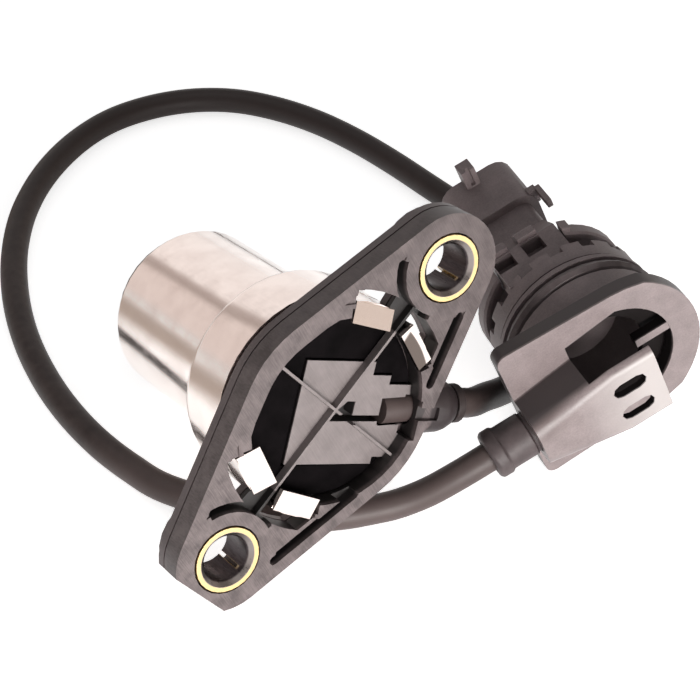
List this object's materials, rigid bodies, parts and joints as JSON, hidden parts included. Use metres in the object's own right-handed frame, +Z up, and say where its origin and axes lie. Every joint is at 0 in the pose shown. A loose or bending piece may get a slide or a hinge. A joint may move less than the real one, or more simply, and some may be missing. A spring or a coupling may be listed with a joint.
{
  "type": "engine position sensor",
  "caption": "Engine position sensor with a flanged plastic head on a bright metal can, a free cable and a round push-in connector with a hooded cap.",
  "frame": {"origin": "On the surface the sensor lies on, below the middle of the sensor head's bounding box (cable and connector left out)", "axes": "+Z up from the surface; +Y along the longest side of the lying head's box, from the flange's front towards the metal can; +X towards the connector"},
  "size_m": [0.1126, 0.1297, 0.0477],
  "materials": {
    "black_plastic": "satin moulded, lightly scuffed",
    "dark_plastic": "satin moulded",
    "rubber": "matt",
    "nickel_steel": "drawn and nickel plated",
    "brass": "rolled, plated yellow",
    "potting_resin": "cast",
    "board_green": "solder mask",
    "chip_black": "moulded",
    "magnet_grey": "ground",
    "tinned_copper": "tin plated",
    "wire_red": "satin",
    "wire_white": "satin",
    "wire_blue": "satin"
  },
  "bodies": {
    "root": {"mounting_flange": "black_plastic", "flange_back_plate": "dark_plastic", "bush_upper": "brass", "bush_lower": "brass", "sensor_can": "nickel_steel", "tip_cap": "dark_plastic", "potting_fill": "potting_resin", "inner_carrier": "dark_plastic", "bias_magnet": "magnet_grey", "circuit_board": "board_green", "position_chip": "chip_black", "board_capacitor_1": "tinned_copper", "board_capacitor_2": "tinned_copper", "signal_wire_1": "wire_red", "signal_wire_2": "wire_white", "signal_wire_3": "wire_blue", "cable_gland": "rubber", "connector_cap": "black_plastic", "connector_body": "black_plastic", "body_seal": "rubber", "retaining_ring": "black_plastic", "pin_insert": "dark_plastic", "contact_pin_1": "tinned_copper", "contact_pin_2": "tinned_copper", "contact_pin_3": "tinned_copper", "cable": "rubber", "cable_boot": "rubber"}
  },
  "joints": []
}
